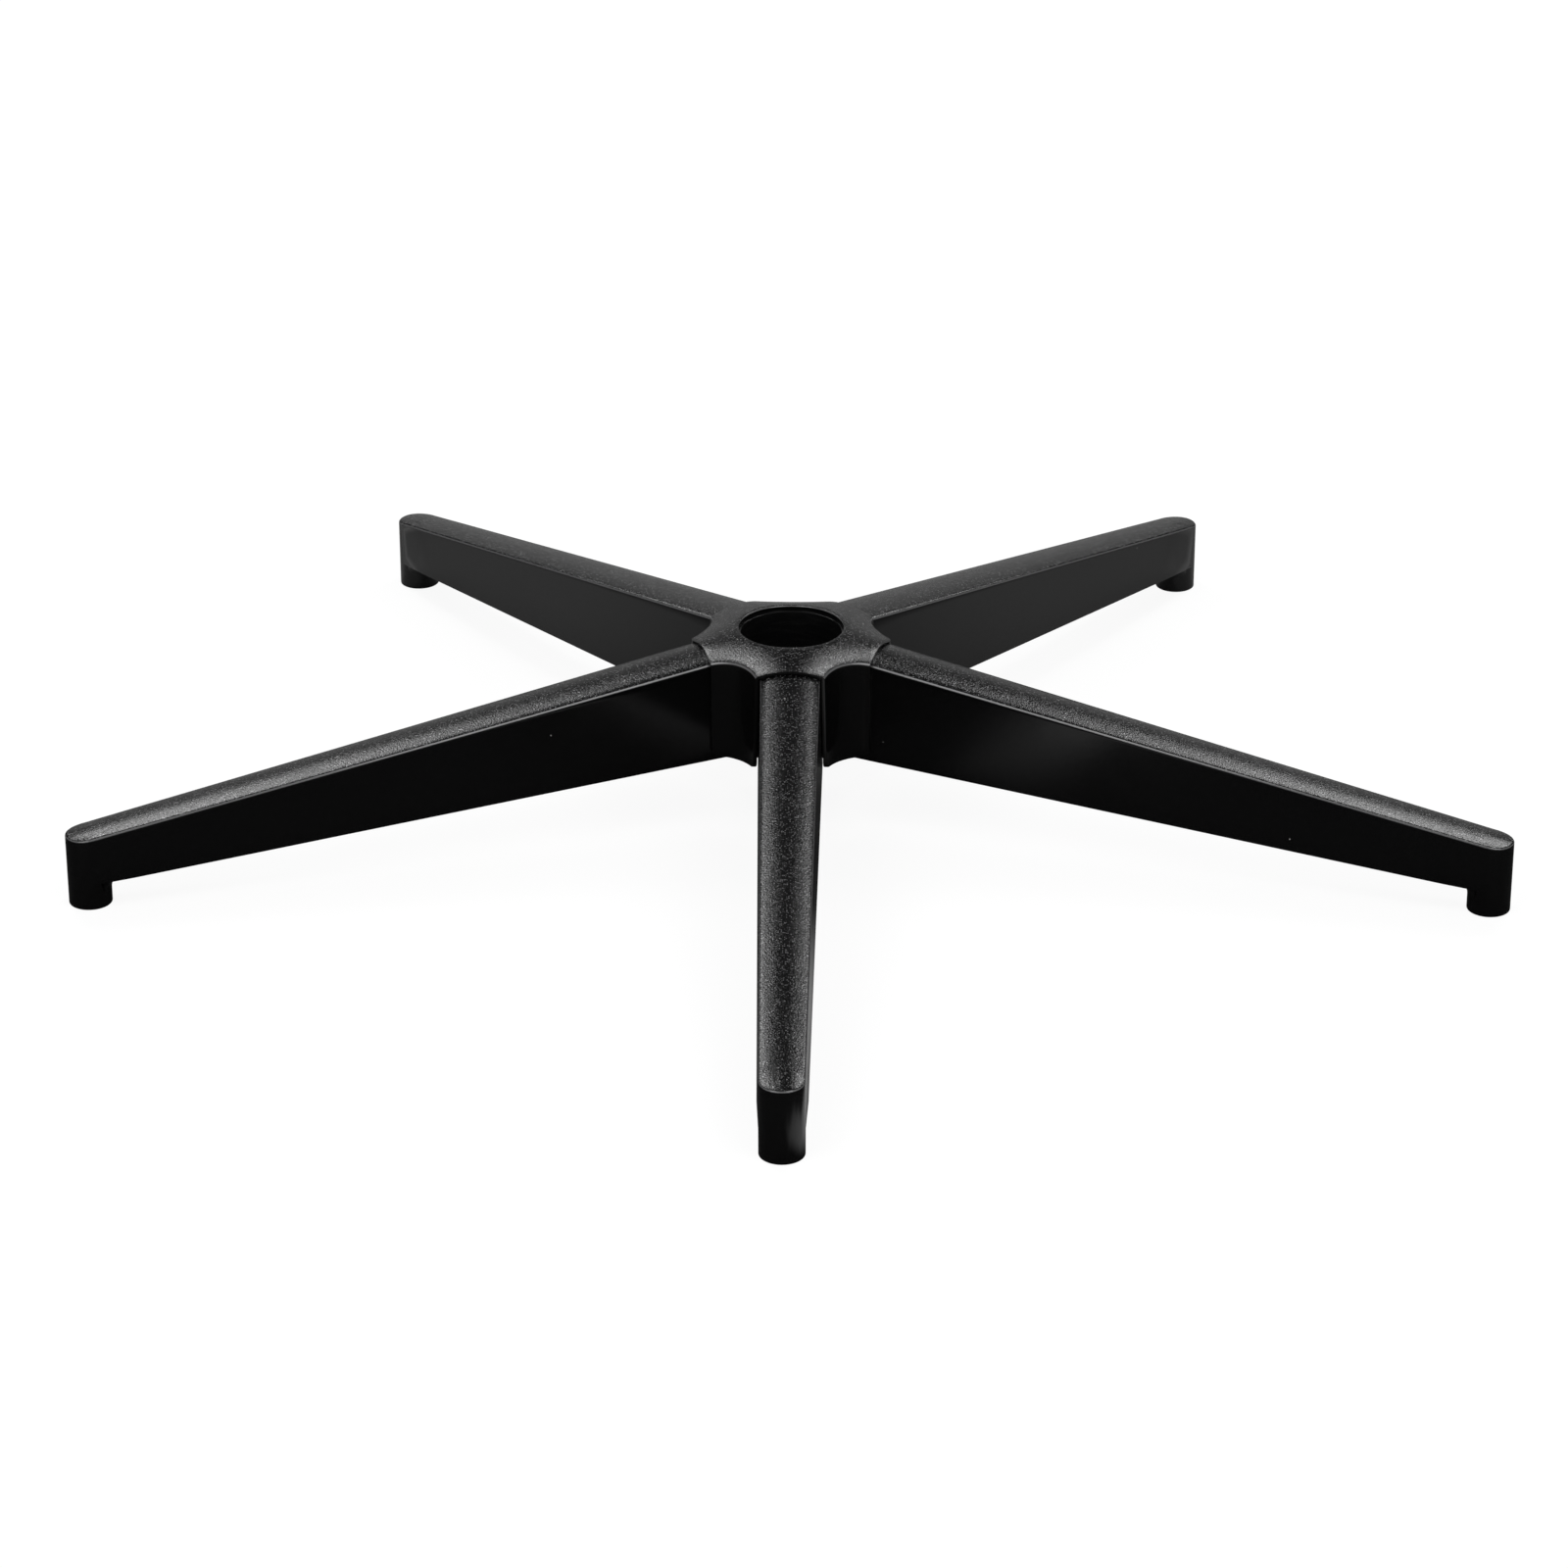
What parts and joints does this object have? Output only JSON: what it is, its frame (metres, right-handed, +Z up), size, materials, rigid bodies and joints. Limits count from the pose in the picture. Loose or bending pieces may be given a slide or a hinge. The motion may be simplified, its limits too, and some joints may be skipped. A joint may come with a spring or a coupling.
{
  "type": "office chair five star base",
  "caption": "Star base for a swivel chair: a steel hub and channels under moulded black covers, with a tapered column socket and a stem socket in the foot of each arm.",
  "frame": {"origin": "centre of the column socket's rim, 93.4 mm above the floor that the feet stand on", "axes": "+Z up along the column's axis, out of the socket's mouth; the first arm points along -Y, and the others follow counter-clockwise seen from above"},
  "size_m": [0.6766, 0.6445, 0.0962],
  "materials": {
    "cover_plastic": "moulded black, fine spark texture on the tops and satin on the sides",
    "black_steel": "black coated sheet and tube, gloss in the column socket",
    "plated_steel": "zinc plated, turned"
  },
  "bodies": {
    "root": {"hub_tube": "black_steel", "hub_plate": "black_steel", "hub_cover": "cover_plastic", "socket_screws": "plated_steel", "cover_screws": "plated_steel", "arm_channel_1": "black_steel", "foot_bracket_1": "black_steel", "caster_socket_1": "plated_steel", "arm_cover_1": "cover_plastic", "arm_channel_2": "black_steel", "foot_bracket_2": "black_steel", "caster_socket_2": "plated_steel", "arm_cover_2": "cover_plastic", "arm_channel_3": "black_steel", "foot_bracket_3": "black_steel", "caster_socket_3": "plated_steel", "arm_cover_3": "cover_plastic", "arm_channel_4": "black_steel", "foot_bracket_4": "black_steel", "caster_socket_4": "plated_steel", "arm_cover_4": "cover_plastic", "arm_channel_5": "black_steel", "foot_bracket_5": "black_steel", "caster_socket_5": "plated_steel", "arm_cover_5": "cover_plastic"}
  },
  "joints": []
}
